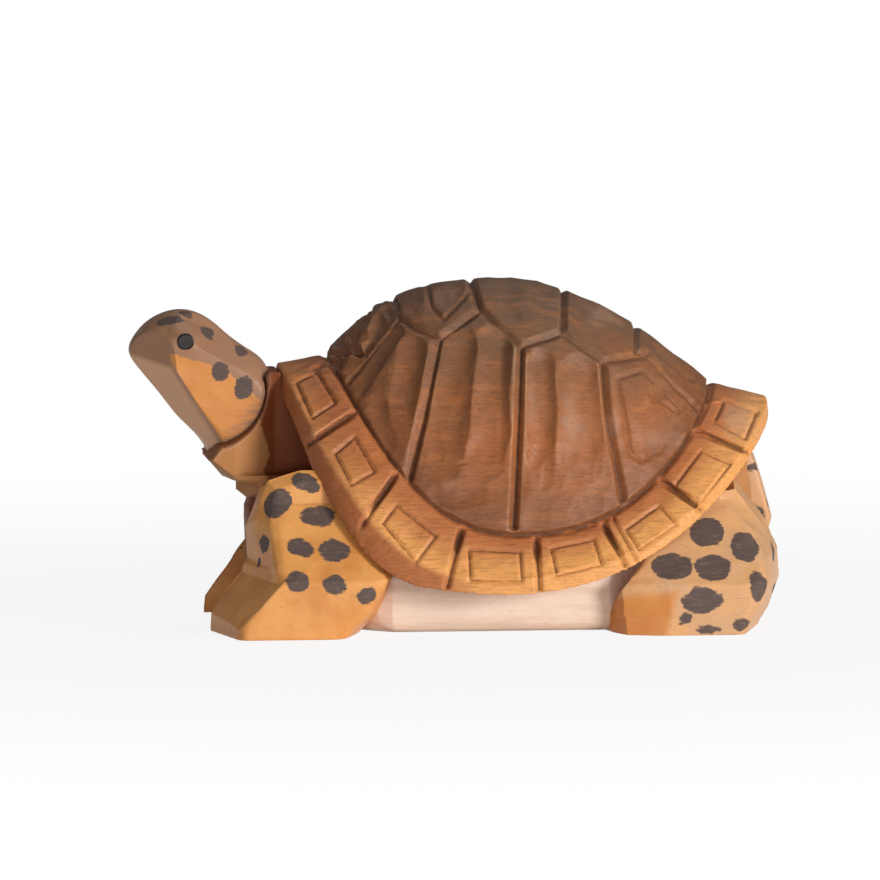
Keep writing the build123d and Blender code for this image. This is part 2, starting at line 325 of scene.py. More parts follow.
shell = {
    "voxel": 0.2,
    "middle": (7.36, 0.0, 10.0),     # middle of the dome's ellipsoid, mm
    "half": (35.9, 23.0, 37.8),      # its half sizes
    "footEnds": (-17.66, 36.08),     # where the rim starts in front and behind
    "footLow": 14.1,                 # the rim's lowest start, beside the belly
    "footPower": 2.4,
    "rimLevel": 0.15,                # how far the rim reaches, as a share of the dome
    # how far the carved top stands in or out from the ellipsoid: x in mm, share
    "crown": ((-17.7, -15, -10, -4, 1, 8, 12, 15, 20.7, 26.3, 31.9, 34.7, 36.1),
              (1.0, 1.012, 1.026, 1.016, 1.0, 0.994, 0.987, 0.978, 0.967, 0.96, 0.969, 0.988, 1.0)),
    # where the front plates of the rim hang lower and further out: x in mm, share, then the shift in mm
    "droop": ((-25, -20, -12, -6, 0), (0.0, 1.0, 1.0, 0.8, 0.0)),
    "droopShift": (-1.0, -0.3, -1.2),
    # how far the front of the rim is thicker downwards, mm: x, thickness
    "thick": ((-25, -21, -14, -9, -5), (1.0, 2.8, 2.4, 1.0, 0.0)),
    "frontScute": [(399, 310), (349, 376), (316, 352), (330, 300), (396, 280)],
    # patches rubbed pale and dull, which carry painted sheen too: pixel across and down, half width, half
    # height, strength
    "worn": [
        (571, 420, 15, 58, 0.75), (657, 436, 26, 16, 0.9), (450, 484, 13, 11, 0.7), (613, 420, 8, 60, 0.7),
        (530, 405, 7, 50, 0.7), (738, 418, 24, 26, 1.2), (604, 318, 24, 20, 0.8),
    ],
    "footRound": (11.0, 11.0),       # pixels beside the rim's start in which the corner is smoothed first
    "smooth": ((309, 373), (36, 16)),     # one more patch, the first plate's top: middle, half sizes
    "footGroove": (4.0, 4.0, 0.75),  # pixels left and right, mm deep
    # where things start and over how much they grow; levels are 1 on the ellipsoid, slopes 1 straight up
    "domeFade": (0.0, 1.2),          # mm over the foot line
    "grooveFade": (0.0, 0.5),
    "skinLevel": 0.94,
    "rimLevels": (1.0, 1.01),        # beside the dome, and in front of it or behind
    "endMargin": 0.3,                # mm
    "lowestSlope": (-0.2, -0.35, 0.05),   # of the dome's skin, the rim's skin and the rim's top
    "facing": (0.12, 0.25),          # towards the photo; lines fade where it hides them
    "crownWidth": (1.6, 9.0),
    "underSlope": (0.3, -0.5),
    "underLevel": (1.02, 0.06),
    "ahead": (2.0, -8.0),            # mm along x
    "flatSlope": (0.15, 0.3),
    # painted shade: the shell darker towards its front, between these places along x
    "frontTone": (8.0, -26.0),       # mm along x
    # painted shade: the dome's colour darkens towards its top between these heights
    "highTone": (14.0, 34.0),        # mm up
    "footTone": (1.1, 11.0),
    "domeChips": {"seed": 4, "count": 340, "size": 1.9, "depth": 0.2, "stroke": (0.1, 0.2, 1.0)},
    "frontChips": {"seed": 6, "count": 40, "size": 1.1, "depth": 0.8, "stroke": (0.2, 1.0, 0.3)},
    "rimChips": {"seed": 8, "count": 150, "size": 1.2, "depth": 0.13, "stroke": (1.0, 0.6, 0.3)},
    # lines between the scutes
    "grooves": [
        ([(398, 317), (347, 382)], 5, 6, 0.8),
        ([(394, 290), (398, 317), (413, 327), (441, 338)], 6, 5, 0.8),
        ([(441, 338), (480, 309), (464, 258)], 5, 6, 0.8),
        ([(480, 309), (521, 346), (562, 332)], 6, 5, 0.8),
        ([(562, 332), (564, 262)], 6, 4, 0.8),
        ([(562, 332), (603, 361), (647, 354)], 6, 5, 0.75),
        ([(638, 305), (636, 351), (647, 354)], 5, 4, 0.65),
        ([(647, 354), (700, 410)], 5, 4, 0.65),
        ([(440, 340), (424, 420), (409, 482)], 9, 4.5, 1.15),
        ([(522, 347), (519, 430), (514, 526)], 7, 4.5, 1.1),
        ([(603, 361), (607, 415), (623, 500)], 6, 5, 1.0),
    ],
    # lighter knife lines inside the scutes
    "lines": [
        ([(325, 352), (369, 351)], 4, 4, 0.6),
        ([(470, 289), (443, 318), (431, 306), (427, 280)], 3, 5, 0.5),
        ([(617, 379), (643, 371), (680, 409), (660, 450), (641, 460), (631, 454), (617, 379)], 3, 5, 0.4),
        ([(649, 392), (676, 412)], 3, 8, 0.4),
        ([(660, 353), (692, 380)], 4, 6, 0.45),
        ([(521, 346), (533, 356)], 3, 3, 0.3),
        ([(436, 466), (470, 462), (500, 470)], 3, 5, 0.3),
    ],
    "fluteForm": (2, 0.7),           # power of a flute's round bottom, share of its depth lost to its end
    # flutes left by the gouge
    "flutes": [
        ([(395, 335), (356, 396)], 26, 7, 0.7),
        ([(415, 350), (399, 432)], 17, 13, 0.75),
        ([(378, 404), (398, 462)], 12, 12, 0.35),
        ([(461, 347), (454, 392), (450, 425), (443, 462)], 25, 20, 1.2),
        ([(502, 344), (497, 395), (499, 430), (491, 466)], 28, 12, 1.2),
        ([(440, 500), (496, 486)], 14, 16, 0.45),
        ([(543, 364), (545, 410), (541, 478)], 19, 12, 1.0),
        ([(588, 376), (593, 420), (590, 462)], 34, 12, 0.85),
        ([(672, 424), (648, 446)], 18, 14, 0.55),
        ([(660, 392), (664, 402)], 14, 10, 0.4),
        ([(452, 296), (442, 306)], 16, 14, 0.35),
        ([(505, 292), (518, 326)], 22, 18, 0.35),
        ([(540, 290), (548, 316)], 14, 12, 0.3),
        ([(588, 312), (606, 342)], 20, 16, 0.3),
        ([(668, 366), (692, 392)], 9, 12, 0.3),
    ],
    # lines across the rim between its plates, from the dome outwards
    "plates": [
        ([(330, 360), (314, 368)], 3, 3, 0.5),
        ([(360, 409), (308, 445)], 4, 4, 0.7),
        ([(402, 466), (362, 525)], 4, 4, 0.7),
        ([(465, 517), (447, 586)], 5, 4, 0.75),
        ([(535, 529), (539, 594)], 5, 4, 0.75),
        ([(598, 515), (624, 564)], 5, 4, 0.7),
        ([(608, 511), (635, 559)], 4, 3, 0.5),
        ([(655, 475), (708, 515)], 5, 4, 0.7),
        ([(692, 428), (754, 455)], 4, 4, 0.7),
    ],
    # engraved frames in the plates
    "frames": [
        [(297, 382), (317, 372), (336, 402), (313, 417)],
        [(336, 453), (355, 437), (375, 471), (352, 484)],
        [(384, 522), (397, 505), (436, 535), (416, 561)],
        [(469, 548), (519, 551), (521, 579), (470, 579)],
        [(550, 547), (592, 538), (600, 563), (556, 573)],
        [(624, 528), (657, 505), (675, 524), (638, 549)],
        [(672, 487), (700, 450), (729, 463), (699, 501)],
        [(714, 421), (724, 400), (756, 411), (744, 438)],
    ],
    "frameHalf": (2.5, 3.0),         # pixels outside and inside the line
    "frameDepth": 0.5,
}


def footHeight(x):
    # height of the line where the dome ends and the rim starts
    middle, half = shell["middle"], shell["half"]
    ends = np.array(shell["footEnds"])
    endHeights = middle[2] + half[2] * np.sqrt(1 - ((ends - middle[0]) / half[0]) ** 2)
    rear = x > middle[0]
    end, endHeight = np.where(rear, ends[1], ends[0]), np.where(rear, endHeights[1], endHeights[0])
    share = held((x - middle[0]) / (end - middle[0]))
    return shell["footLow"] + (endHeight - shell["footLow"]) * share ** shell["footPower"]


def domeFill():
    # the dome as a plain closed skin, which fills the solid's square grooves before they are cut anew
    work = bmesh.new()
    bmesh.ops.create_uvsphere(work, u_segments=192, v_segments=128, radius=1)
    mesh = bpy.data.meshes.new("domeFill")
    work.to_mesh(mesh)
    work.free()
    points = readPoints(mesh) * mm * shell["half"] + shell["middle"]
    middle = np.array(shell["middle"])
    edge = footHeight(middle[0] + (points[:, 0] - middle[0]) * 0.96) - 0.8  # a little inside the rim
    low = points[:, 2] < edge
    points[low] = (points[low] - middle) * (0.88, 0.88, 1) + middle
    points[low, 2] = edge[low] - 1.0
    writePoints(mesh, points)
    return mesh


def footLine():
    # pixels of the line where the dome ends
    turns = np.linspace(0, math.pi, 48)
    front, rear = shell["footEnds"]
    x = (front + rear) / 2 - (rear - front) / 2 * np.cos(turns)
    z = footHeight(x)
    middle, half = shell["middle"], shell["half"]
    round2 = 1 - ((x - middle[0]) / half[0]) ** 2 - ((z - middle[2]) / half[2]) ** 2
    y = -half[1] * np.sqrt(np.maximum(round2, 0))
    return [tuple(pixel) for pixel in photoPixels(np.stack((x, y, z), 1))]


def joined(name, meshes):
    work = bmesh.new()
    for mesh in meshes:
        work.from_mesh(mesh)
    whole = bpy.data.meshes.new(name)
    work.to_mesh(whole)
    work.free()
    return whole


def makeShell():
    piece = remeshed("shell", joined("shell", (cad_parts["carapace"].data, domeFill())), shell["voxel"])
    mesh = piece.data
    edges = readEdges(mesh)
    points = spread(readPoints(mesh), edges, 2)
    pixels = photoPixels(points)
    corner = held(2 * cutDepth(pixels, [(footLine(), *shell["footRound"], 1.0)]))
    place, half = shell["smooth"]
    corner = np.maximum(corner, held(2 - 2 * np.linalg.norm((pixels - place) / half, axis=1)))
    points += (spread(points, edges, 30) - points) * corner[:, None]
    writePoints(mesh, points)
    normals = unit(spread(readNormals(mesh), edges, 4))
    level = np.linalg.norm((points - shell["middle"]) / shell["half"], axis=1)
    front, rear = shell["footEnds"]
    margin, (rimBeside, rimBeyond) = shell["endMargin"], shell["rimLevels"]
    domeSlope, rimSlope, topSlope = shell["lowestSlope"]
    beyond = (points[:, 0] < front - margin) | (points[:, 0] > rear + margin)
    over = np.where(beyond & (level > rimBeyond), -1.0, points[:, 2] - footHeight(points[:, 0]))
    below = over < 0.2
    skin = (level > shell["skinLevel"]) * (normals[:, 2] > domeSlope)
    dome = spread(ramp(over, *shell["domeFade"]) * skin, edges, 3)
    rim = spread(below * (level > rimBeside) * (normals[:, 2] > rimSlope) * 1.0, edges, 3)
    flip = np.where(points[:, 1:2] > 0, (1, -1, 1), (1, 1, 1))
    facing = ramp(normals * flip @ lookBack, *shell["facing"])
    reach = ramp(level, 1.0, shell["rimLevel"])
    most, wide = shell["crownWidth"]
    nearTop = held(most - np.abs(points[:, 1]) / wide) * dome
    grow = (np.interp(points[:, 0], *shell["crown"]) - 1) * nearTop
    points = points + (points - shell["middle"]) * grow[:, None]
    under = ramp(normals[:, 2], *shell["underSlope"]) * ramp(level, *shell["underLevel"]) * below
    under = spread(under, edges, 6)
    outer = spread(below * 1.0, edges, 12)
    droop = np.interp(points[:, 0], *shell["droop"]) * reach * outer * (0.4 + 0.6 * under)
    points = points + droop[:, None] * flip * shell["droopShift"]
    points[:, 2] -= np.interp(points[:, 0], *shell["thick"]) * under
    ahead = ramp(points[:, 0], *shell["ahead"])
    points += (spread(points, edges, 16) - points) * (held(under * 4) * ahead)[:, None]
    pixels = photoPixels(points)
    front = dome * (shapeGap(pixels, shell["frontScute"]) < 0)
    frames = [(line + line[:1], *shell["frameHalf"], shell["frameDepth"]) for line in shell["frames"]]
    for keep, chips in ((dome, "domeChips"), (front, "frontChips"), (rim, "rimChips")):
        points = chipSkin(points, normals, keep=keep, **shell[chips])
    flutes = cutDepth(pixels, shell["flutes"], *shell["fluteForm"])
    foot = cutDepth(pixels, [(footLine(), *shell["footGroove"])])
    cut = np.max([
        np.maximum(flutes, cutDepth(pixels, shell["lines"])) * dome * facing,
        cutDepth(pixels, shell["grooves"]) * ramp(over, *shell["grooveFade"]) * skin,
        foot * (np.abs(level - 1) < 0.05) * (normals[:, 2] > domeSlope),
        cutDepth(pixels, shell["plates"]) * rim,
        cutDepth(pixels, frames) * (rim * (normals[:, 2] > topSlope) * facing),
    ], axis=0)
    writePoints(mesh, points - normals * spread(cut, edges, 1)[:, None])
    storeRelief(mesh, edges)
    worn = [most * np.exp(-((pixels - place) ** 2 / np.square((wide, high))).sum(1))
            for *place, wide, high, most in shell["worn"]]
    most, tall = shell["footTone"]
    # painted shade: in front, rim faces turned downwards keep the darker inner colour
    edgeTone = reach * (1 - ahead * (1 - ramp(normals[:, 2], *shell["flatSlope"])))  # dark edge in front only
    rimShare = np.where(over < 0.1, 0.25 + 0.75 * edgeTone, 0)
    setValues(
        mesh, worn=np.max(worn, axis=0), foot=held(most - over / tall), rimShare=spread(rimShare, edges, 2),
        # front and high carry painted shade: the shell darker towards its front, the dome darker towards its
        # top
        front=ramp(points[:, 0], *shell["frontTone"]), high=ramp(points[:, 2], *shell["highTone"]),
    )
    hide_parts("carapace")
    print("shell:", len(mesh.vertices), "vertices")
    return piece


# Head

head = {
    "voxel": 0.18,
    "inside": (-34.0, 0.0, 33.0),
    "seat": (-30.05, 0.0, 29.2),     # where the neck starts, and its slope in degrees
    "slope": 37.0,
    "collar": (2.2, 0.5, 5.6),       # bulge of the neck's edge, mm: most, where up the neck, half height
    "neck": (6.7, 0.37, 7.1),        # the neck's section there, mm: half width, middle, half height
    "cuts": [  # three corners each: pixel, pixel, y in mm
        ((176, 356, -6.1), (207, 417, -5.5), (250, 405, -5.3)),   # cheek
        ((174, 370, -5.7), (207, 417, -5.3), (174, 408, -1.2)),   # throat
        ((187, 341, -6.0), (248, 373, -5.5), (226, 334, -1.8)),   # brow
        ((173, 352, -5.8), (174, 370, -5.5), (135, 350, -1.4)),   # side of the snout
    ],
    "chips": {"seed": 9, "count": 90, "size": 1.3, "depth": 0.09, "stroke": (-0.8, 0.0, 0.6)},
    # outline of the bare orange cheek, and the two lines left of and below which the throat lies, painted
    # paler as painted sheen on its shaded face
    "cheek": [(172, 349), (198, 346), (214, 360), (232, 371), (262, 379), (275, 400), (262, 430), (224, 450),
              (197, 403), (172, 368)],
    "throat": [((138, 357), (172, 368)), ((172, 368), (224, 450))],
    "eye": (-37.59, 6.36, 39.66),    # where the lid meets the bead, mm
    "lid": (3.3, 2.1),               # where it ends and how softly, mm
    "ease": (6.0, 3.5),              # how far in front of the collar the neck is worked smooth, mm
    # the grey wash is partly the head's own tone and partly painted sheen
    "neckWash": (0.6, 5.0),          # how far the wash runs onto the neck, share at the collar and mm
    "dabs": [
        (170, 321, 27, 15, 0), (188, 314, 14, 10, 10), (208, 333, 17, 16, 0), (242, 350, 14, 20, 60),
        (223, 372, 17, 20, 0), (244, 388, 19, 23, 20), (265, 379, 9, 10, 0),
    ],
}


def collarReach(points):
    # how far points lie behind the neck's seat, how far back its edge comes there, and its half width
    slope = math.radians(head["slope"])
    along = np.array((-math.cos(slope), 0, math.sin(slope)))
    up = np.array((math.sin(slope), 0, math.cos(slope)))
    most, place, half = head["collar"]
    gap = points - head["seat"]
    wide, middle, tall = head["neck"]
    width = wide * np.sqrt(held(1 - ((gap @ up - middle) / tall) ** 2))
    return -gap @ along, most * held(1 - ((gap @ up - place) / half) ** 2), width


def makeHead():
    piece, mesh, edges, points = skinOf("head", "head_and_neck", head)
    slope = math.radians(head["slope"])
    behind, edge, _ = collarReach(points)
    slide = edge * held(1 + behind / 3.0)
    points = points + slide[:, None] * (math.cos(slope), 0, -math.sin(slope))
    for corners in head["cuts"]:
        points = whittle(points, corners, head["inside"], both=True)
    eye, (lid, soft) = head["eye"], head["lid"]
    away = np.hypot(points[:, 0] - eye[0], points[:, 2] - eye[2])
    lift = 0.97 * held((lid - away) / soft) ** 2 * (np.abs(points[:, 1]) > 3)
    points[:, 1] += np.sign(points[:, 1]) * np.maximum(eye[1] - np.abs(points[:, 1]), 0) * lift
    behind, edge, _ = collarReach(points)
    ease = held((behind - edge + head["ease"][0]) / head["ease"][1]) * (edge - behind > 0.3)
    points += (spread(points, edges, 60) - points) * ease[:, None]
    chipMesh(mesh, edges, points, head["chips"])
    behind, edge, _ = collarReach(points)
    storeRelief(mesh, edges, held(1 - (edge - behind) / 0.5))
    pixels = photoPixels(points)
    # grey wash outside the cheek: partly own tone, partly painted sheen
    wash = held(shapeGap(pixels, head["cheek"]) / 5 + 0.5)
    most, wide = head["neckWash"]
    setValues(mesh, cheek=1 - wash, wash=np.maximum(wash, most * held(1 - (edge - behind) / wide)))
    # painted sheen: the throat, turned from the lamps, is painted paler
    below = [np.cross(np.subtract(end, start), pixels - start) / np.linalg.norm(np.subtract(end, start))
             for start, end in head["throat"]]
    setValues(mesh, throat=held(np.min(below, axis=0) / 5 + 0.5), dab=dabGap(piece, head["dabs"], 3))
    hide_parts("head_and_neck")
    print("head:", len(mesh.vertices), "vertices")
    return piece


# Legs and tail

proudSide = (-15.0, -9.0)   # mm along y, over which a leg's outer side takes its lean and reach
drawnSide = (-11.0, -6.0)
drawnUp = (0.4, 2.0)        # mm over the sole in which a shift upwards grows
drawnAlong = (14.0, -5.0)   # heights over which a shift along x dies away

frontLeg = {
    "voxel": 0.2,
    "inside": np.array((-22.0, -18.0, 8.0)),
    "cuts": [
        (((236, 633, -23.2), (286, 578, -23.4), (214, 612, -13.0)), 9.4),   # front of the foot
    ],
    # the side leans in under the rim, mm: heights, how far
    "lean": ((8.0, 18.0), (0.0, 6.8)),
    # and is drawn out, mm: rows or columns of the photo between which the shift grows
    "draw": [((-0.4, 0.0, 2.6), 1, (550, 514)), ((1.9, 0.0, 0.0), 0, (338, 372))],
    "rightCuts": [
        (((228, 563, 12.0), (205, 596, 12.0), (205, 596, 24.0)), 99.0),   # the other foot is shorter
        (((205, 596, 12.0), (203, 616, 12.0), (203, 616, 24.0)), 99.0),
    ],
    "chips": {"seed": 21, "count": 120, "size": 1.7, "depth": 0.14, "stroke": (1.0, 0.0, 0.4)},
    "dabs": [
        (318, 516, 34, 24, 0), (278, 503, 25, 34, 40), (306, 482, 28, 18, 30), (266, 543, 20, 17, 0),
        (302, 547, 26, 20, 30), (335, 550, 31, 25, 0), (299, 579, 21, 20, 0), (336, 584, 23, 20, 0),
        (368, 594, 21, 17, 0), (261, 561, 10, 8, 0),
    ],
}
rearLeg = {
    "voxel": 0.2,
    "inside": np.array((32.0, -18.0, 8.0)),
    "cuts": [
        (((622, 600, -21.9), (626, 632, -22.4), (598, 622, -15.5)), 6.0),   # front of the toe
        (((676, 592, -23.9), (664, 632, -23.9), (623, 614, -22.0)), 6.6),   # side of the toe
    ],
    # the side leans in under the rim, mm: heights, how far; and reaches forward over the belly
    "lean": ((7.0, 18.0), (0.0, 7.0)),
    "reach": {"line": ((715, 530), (628, 625)), "shift": (-2.7, 0.0, 2.6), "inner": 8.0, "rows": (616, 604)},
    # paler, greyer tone over the leg: partly its own colour, partly painted sheen
    "fade": 1.0,
    "toe": [(594, 622), (618, 596), (676, 590), (664, 636), (598, 636)],   # outline of the bare toe
    "chips": {"seed": 33, "count": 120, "size": 1.7, "depth": 0.14, "stroke": (1.0, 0.0, 0.4)},
    "dabs": [
        (669, 566, 41, 29, 0), (705, 532, 34, 32, 0), (743, 546, 29, 32, 0), (711, 567, 37, 29, 0),
        (757, 586, 21, 27, 0), (701, 599, 41, 25, 0), (683, 617, 14, 12, 0), (740, 623, 18, 12, 0),
        (705, 628, 23, 7, 0), (772, 551, 11, 23, 0), (773, 587, 10, 20, 0),
    ],
}
tail = {
    "voxel": 0.2,
    "soften": 14,
    # paler, greyer tone over the tail: partly its own colour, partly painted sheen
    "fade": 1.0,
    "chips": {"seed": 41, "count": 40, "size": 1.5, "depth": 0.16, "stroke": (0.3, 0.0, 1.0)},
    "dabs": [(747, 514, 27, 18, 40), (756, 467, 9, 20, 60), (768, 503, 9, 14, 60)],
}


def makeLeg(name, node, leg):
    piece, mesh, edges, points = skinOf(name, node, leg)
    side = np.array((1, -1, 1)) if node.startswith("right") else np.ones(3)
    points = points * side  # cut as a left leg, then put back
    for corners, high in leg.get("cuts", ()):
        points = whittle(points, corners, leg["inside"], high=high)
    if "reach" in leg:
        reach = leg["reach"]
        pixels = photoPixels(points)
        proud = ramp(points[:, 1], *proudSide)
        run = np.subtract(*reach["line"][::-1])
        behind = -np.cross(run, pixels - reach["line"][0]) / np.linalg.norm(run)  # pixels behind the line
        near = held(1 - behind / photo["pixelsPerMm"] / reach["inner"]) ** 2
        near = near * held((reach["rows"][0] - pixels[:, 1]) / np.subtract(*reach["rows"]))
        points = points + (proud * near)[:, None] * reach["shift"]
    for shift, way, (first, last) in leg.get("draw", ()):
        share = held((photoPixels(points)[:, way] - first) / (last - first))
        low = ramp(points[:, 2], *(drawnUp if shift[2] else drawnAlong))
        points = points + (share * low * ramp(points[:, 1], *drawnSide))[:, None] * shift
    if "lean" in leg:
        points[:, 1] += np.interp(points[:, 2], *leg["lean"]) * ramp(points[:, 1], *proudSide)
    points = points * side
    for corners, high in leg.get("rightCuts", ()) if side[1] < 0 else ():
        points = whittle(points, corners, leg["inside"] * side, high=high)
    chipMesh(mesh, edges, points, leg["chips"], ramp(points[:, 2], *soleChips))
    storeRelief(mesh, edges)
    bare = np.zeros(len(points))
    if "toe" in leg:
        bare = held(0.5 - shapeGap(photoPixels(points), leg["toe"]) / 8)
    dab = dabGap(piece, leg["dabs"], leg["chips"]["seed"])
    setValues(mesh, cheek=bare, fade=leg.get("fade", 0.0) * (1 - bare), dab=dab)
    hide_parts(node)
    print(name + ":", len(mesh.vertices), "vertices")
    return piece


# Belly block with the chest and the root of the neck

belly = {
    "voxel": 0.22,
    "chips": {"seed": 51, "count": 160, "size": 1.9, "depth": 0.13, "stroke": (1.0, 0.0, 0.1)},
    "chestEnd": -17.0,   # mm along x, where the stained chest gives way to the pale belly
    "rumpStart": 36.0,
    # edge of the painted shade in the hollow behind the collar, down the photo: pixels down, pixels across
    "hollowEdge": ((380, 410, 423, 454, 470, 488, 497, 520), (268, 263, 261, 271, 264, 272, 248, 238)),
    "hollowFloor": 5.0,
    "slim": 0.75,        # how far the root of the neck fills the head's width, where the head hides it
    "rise": (1.1, (395, 375)),   # how far the root of the neck stands up, mm, between two rows of the photo
    "swell": ((-17, -13, 20, 24), (0.0, 3.6, 3.6, 0.0)),   # mm: x, how far the belly swells between the legs
    "swellUp": (11.0, -3.0),     # heights over which the swell dies away, mm
    "swellSide": (8.0, 6.0),     # mm from the middle plane over which it grows
    "inside": (-26.0, 0.0, 18.0),
    "cuts": [  # three corners each, then the heights between which the knife went
        (((264, 485, -8.6), (264, 550, -8.6), (240, 520, -1.2)), -99.0, 20.5),   # chest
        (((217, 463, -7.9), (248, 487, -8.0), (213, 468, -2.0)), 16.0, 99.0),    # under the collar
    ],
}


def makeBelly():
    piece, mesh, edges, points = skinOf("belly", "body", belly)
    for corners, low, high in belly["cuts"]:
        points = whittle(points, corners, belly["inside"], True, low, high)
    swell = np.interp(points[:, 0], *belly["swell"]) * ramp(points[:, 2], *belly["swellUp"])
    points[:, 1] += np.sign(points[:, 1]) * swell * ramp(np.abs(points[:, 1]), *belly["swellSide"])
    behind, edge, width = collarReach(points)
    tuck = held((edge + 0.3 - behind) / 0.3)  # the head hides this part, so it is slimmer
    rootHalf = np.abs(points[tuck > 0.5, 1]).max()
    slim = np.minimum(belly["slim"] * np.maximum(width - 0.5, 0.5) / rootHalf, 1)
    points[:, 1] *= 1 - tuck * (1 - slim)
    rise, (first, last) = belly["rise"]
    points[:, 2] += rise * held((first - photoPixels(points)[:, 1]) / (first - last)) * (1 - tuck)
    chipMesh(mesh, edges, points, belly["chips"], ramp(points[:, 2], *soleChips))
    storeRelief(mesh, edges, held(1 - np.abs(behind - edge - 0.1) / 0.5) * (points[:, 2] > 16))
    x, z = points[:, 0], points[:, 2]
    pixels = photoPixels(points)
    inside = (pixels[:, 0] - np.interp(pixels[:, 1], *belly["hollowEdge"])) / 8
    ends = np.maximum(belly["chestEnd"] - x, x - belly["rumpStart"])
    # painted shade: deep brown in the hollow behind the collar, under the rim
    deep = held(inside + 0.5) * held(z - belly["hollowFloor"]) * (x < -12)
    setValues(mesh, stained=held(ends / 3 + 0.5), deep=deep)
    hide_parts("body")
    print("belly:", len(mesh.vertices), "vertices")
    return piece


# Shader tools

def colour(red, green, blue):
    # a colour as a screen shows it, 0 to 255
    shown = (red / 255, green / 255, blue / 255)
    return tuple(((c + 0.055) / 1.055) ** 2.4 if c > 0.04045 else c / 12.92 for c in shown) + (1,)


def setSockets(tree, node, sockets):
    for key, value in sockets.items():
        if isinstance(value, bpy.types.NodeSocket):
            tree.links.new(value, node.inputs[key])
        else:
            node.inputs[key].default_value = value


def makeNode(tree, kind, sockets=None, **settings):
    node = tree.nodes.new(kind)
    for name, value in settings.items():
        setattr(node, name, value)
    setSockets(tree, node, sockets or {})
    return node


def ownPlace(tree):
    return makeNode(tree, "ShaderNodeTexCoord").outputs["Object"]


def combine(tree, operation, a, b=0.0):
    return makeNode(tree, "ShaderNodeMath", {0: a, 1: b}, operation=operation).outputs[0]


def between(tree, value, low, high, start=0.0, end=1.0):
    # a smooth step from start to end as value goes from low to high
    node = makeNode(tree, "ShaderNodeMapRange", {0: value, 1: low, 2: high, 3: start, 4: end})
    node.interpolation_type = "SMOOTHSTEP"
    return node.outputs[0]


def blend(tree, share, a, b, mode="MIX"):
    node = makeNode(tree, "ShaderNodeMix", {0: share, 6: a, 7: b}, data_type="RGBA", blend_type=mode)
    return node.outputs[2]


def noise(tree, vector, scale, detail=3.0, rough=0.55, twist=0.0):
    return makeNode(tree, "ShaderNodeTexNoise", {
        "Vector": vector, "Scale": scale, "Detail": detail, "Roughness": rough, "Distortion": twist,
    }).outputs[0]


def newGroup(name, inputs, outputs):
    # a node group whose sockets are all plain numbers, what it is given, and the node that puts them out
    tree = bpy.data.node_groups.new(name, "ShaderNodeTree")
    for label, value in inputs.items():
        socket = tree.interface.new_socket(label, in_out="INPUT", socket_type="NodeSocketFloat")
        socket.default_value = value
    for label in outputs:
        tree.interface.new_socket(label, in_out="OUTPUT", socket_type="NodeSocketFloat")
    return tree, tree.nodes.new("NodeGroupInput").outputs, tree.nodes.new("NodeGroupOutput")


def makeGrainGroup():
    tree, given, put = newGroup("woodGrain", {"Size": 1.0}, ("Figure", "Fibre", "Pores", "Blotch"))
    place = ownPlace(tree)
    size = combine(tree, "DIVIDE", 1 / mm, given["Size"])
    place = makeNode(tree, "ShaderNodeVectorMath", {0: place, "Scale": size}, operation="SCALE").outputs[0]
    long = makeNode(tree, "ShaderNodeMapping", {"Vector": place, "Scale": (0.09, 0.7, 0.7)}).outputs[0]
    fine = makeNode(tree, "ShaderNodeMapping", {"Vector": place, "Scale": (0.4, 3.2, 3.2)}).outputs[0]
    pore = makeNode(tree, "ShaderNodeMapping", {"Vector": place, "Scale": (0.9, 6.0, 6.0)}).outputs[0]
    setSockets(tree, put, {
        "Figure": noise(tree, long, 1.0, 4.0, 0.6, 0.2),
        "Fibre": noise(tree, fine, 1.0, 3.0, 0.6),
        "Pores": between(tree, noise(tree, pore, 1.0, 2.0), 0.62, 0.74),
        "Blotch": noise(tree, place, 0.16, 3.0, 0.6),
    })
    return tree


def makeReliefGroup():
    # stain that stays in hollows, with painted shade darkening them too, and ridges where it is rubbed thin,
    # both broken up
    inputs = {"Hollow": 0.0, "Ridge": 0.0, "Break": 0.5}
    tree, given, put = newGroup("carvedRelief", inputs, ("Stain", "Rub"))
    place = ownPlace(tree)
    speck = noise(tree, place, 0.7 / mm, 4.0, 0.65)
    broken = combine(tree, "MULTIPLY", combine(tree, "SUBTRACT", speck, 0.5), given["Break"])
    hollow = combine(tree, "ADD", given["Hollow"], broken)
    ridge = combine(tree, "ADD", given["Ridge"], broken)
    rub = between(tree, ridge, 0.25, 0.95)
    setSockets(tree, put, {"Stain": between(tree, hollow, 0.15, 0.9), "Rub": rub})
    return tree


def makeDabGroup():
    # paint dabs with the ragged edge and thin streaks of a small brush
    tree, given, put = newGroup("brushDabs", {"Gap": 4.0}, ("Paint", "Thin"))
    place = ownPlace(tree)
    broad = noise(tree, place, 0.45 / mm, 2.0)
    bristle = makeNode(tree, "ShaderNodeMapping", {"Vector": place, "Scale": (0.7 / mm, 2.6 / mm, 2.6 / mm)})
    fine = noise(tree, bristle.outputs[0], 1.0, 3.0, 0.6)
    edge = combine(tree, "MULTIPLY", combine(tree, "SUBTRACT", broad, 0.5), 1.3)
    edge = combine(tree, "ADD", edge, combine(tree, "MULTIPLY", combine(tree, "SUBTRACT", fine, 0.5), 0.7))
    edge = combine(tree, "ADD", given["Gap"], edge)
    paint = between(tree, edge, -0.12, 0.14, 1.0, 0.0)
    setSockets(tree, put, {"Paint": paint, "Thin": between(tree, fine, 0.5, 0.72)})
    return tree


grainGroup, reliefGroup, dabGroup = makeGrainGroup(), makeReliefGroup(), makeDabGroup()


def useGroup(tree, group, **sockets):
    return makeNode(tree, "ShaderNodeGroup", sockets, node_tree=group).outputs


def stored(tree, name):
    return makeNode(tree, "ShaderNodeAttribute", attribute_name=name).outputs["Fac"]


